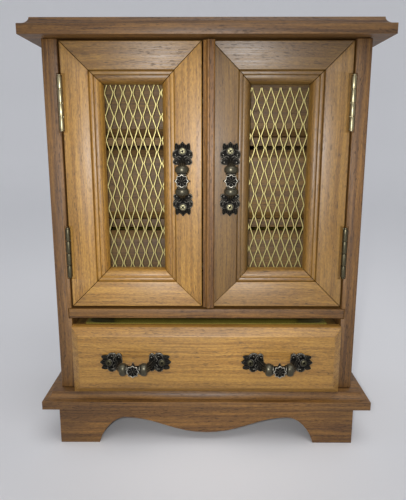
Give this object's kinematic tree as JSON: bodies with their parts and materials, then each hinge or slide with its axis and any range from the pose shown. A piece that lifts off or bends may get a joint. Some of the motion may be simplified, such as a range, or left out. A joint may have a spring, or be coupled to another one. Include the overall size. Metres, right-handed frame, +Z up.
{
  "type": "jewelry armoire",
  "caption": "Small wooden table-top jewelry cabinet: framed doors with diamond mesh over inner drawers, a lower drawer with bow pulls, coved top and base, bracket feet.",
  "frame": {"origin": "centre of the bounding box on the floor, under the middle of the feet", "axes": "+Z up, the doors face -Y, +X to the right as seen from the front"},
  "size_m": [0.1944, 0.1322, 0.2447],
  "materials": {
    "honey_oak": "satin varnish, straight open grain",
    "brown_oak": "satin varnish, darker brown stain",
    "inner_wood": "matt, lightly finished",
    "brass_mesh": "bright lacquered brass, expanded sheet",
    "hinge_brass": "pale plated brass",
    "dark_bronze": "dark antique bronze with rubbed bright edges",
    "steel": "plain steel strip",
    "magnet_brown": "moulded brown case",
    "felt": "olive gold felt"
  },
  "bodies": {
    "cabinet": {"top_board": "brown_oak", "left_side": "brown_oak", "right_side": "brown_oak", "middle_board": "brown_oak", "base_board": "brown_oak", "back_panel": "inner_wood", "upper_divider": "inner_wood", "lower_divider": "inner_wood", "front_apron": "brown_oak", "left_apron": "brown_oak", "right_apron": "brown_oak", "rear_apron": "brown_oak", "left_catch": "magnet_brown", "right_catch": "magnet_brown", "left_lower_hinge_frame_leaf": "hinge_brass", "left_lower_hinge_pin": "hinge_brass", "left_upper_hinge_frame_leaf": "hinge_brass", "left_upper_hinge_pin": "hinge_brass", "right_lower_hinge_frame_leaf": "hinge_brass", "right_lower_hinge_pin": "hinge_brass", "right_upper_hinge_frame_leaf": "hinge_brass", "right_upper_hinge_pin": "hinge_brass"},
    "left_door": {"left_door_hinge_stile": "honey_oak", "left_door_lock_stile": "honey_oak", "left_door_top_rail": "honey_oak", "left_door_bottom_rail": "honey_oak", "left_door_grille": "brass_mesh", "left_lower_hinge_door_leaf": "hinge_brass", "left_upper_hinge_door_leaf": "hinge_brass", "left_strike_plate": "steel", "left_door_pull": "dark_bronze"},
    "right_door": {"right_door_hinge_stile": "honey_oak", "right_door_lock_stile": "honey_oak", "right_door_top_rail": "honey_oak", "right_door_bottom_rail": "honey_oak", "right_door_grille": "brass_mesh", "right_lower_hinge_door_leaf": "hinge_brass", "right_upper_hinge_door_leaf": "hinge_brass", "right_strike_plate": "steel", "right_door_pull": "dark_bronze", "meeting_strip": "brown_oak"},
    "lower_drawer": {"drawer_front": "honey_oak", "drawer_left_wall": "inner_wood", "drawer_right_wall": "inner_wood", "drawer_back_wall": "inner_wood", "drawer_bottom": "inner_wood", "drawer_lining": "felt", "left_drawer_pull": "dark_bronze", "right_drawer_pull": "dark_bronze"},
    "top_inner_drawer": {"top_drawer_front": "inner_wood", "top_drawer_tray": "inner_wood", "top_drawer_knob": "hinge_brass"},
    "middle_inner_drawer": {"middle_drawer_front": "inner_wood", "middle_drawer_tray": "inner_wood", "middle_drawer_knob": "hinge_brass"},
    "bottom_inner_drawer": {"bottom_drawer_front": "inner_wood", "bottom_drawer_tray": "inner_wood", "bottom_drawer_knob": "hinge_brass"}
  },
  "joints": [
    {"name": "left_door_hinge", "type": "hinge", "parent": "cabinet", "child": "left_door", "pos_m": [-0.07856, -0.0429, 0.1609], "axis": [0, 0, -1], "range_deg": [0, 170]},
    {"name": "right_door_hinge", "type": "hinge", "parent": "cabinet", "child": "right_door", "pos_m": [0.07856, -0.0429, 0.1609], "axis": [0, 0, 1], "range_deg": [0, 170]},
    {"name": "lower_drawer_slide", "type": "slide", "parent": "cabinet", "child": "lower_drawer", "axis": [0, -1, 0], "range_m": [-0.006, 0.064]},
    {"name": "top_inner_drawer_slide", "type": "slide", "parent": "cabinet", "child": "top_inner_drawer", "axis": [0, -1, 0], "range_m": [0, 0.0027]},
    {"name": "middle_inner_drawer_slide", "type": "slide", "parent": "cabinet", "child": "middle_inner_drawer", "axis": [0, -1, 0], "range_m": [0, 0.0027]},
    {"name": "bottom_inner_drawer_slide", "type": "slide", "parent": "cabinet", "child": "bottom_inner_drawer", "axis": [0, -1, 0], "range_m": [0, 0.0027]}
  ]
}
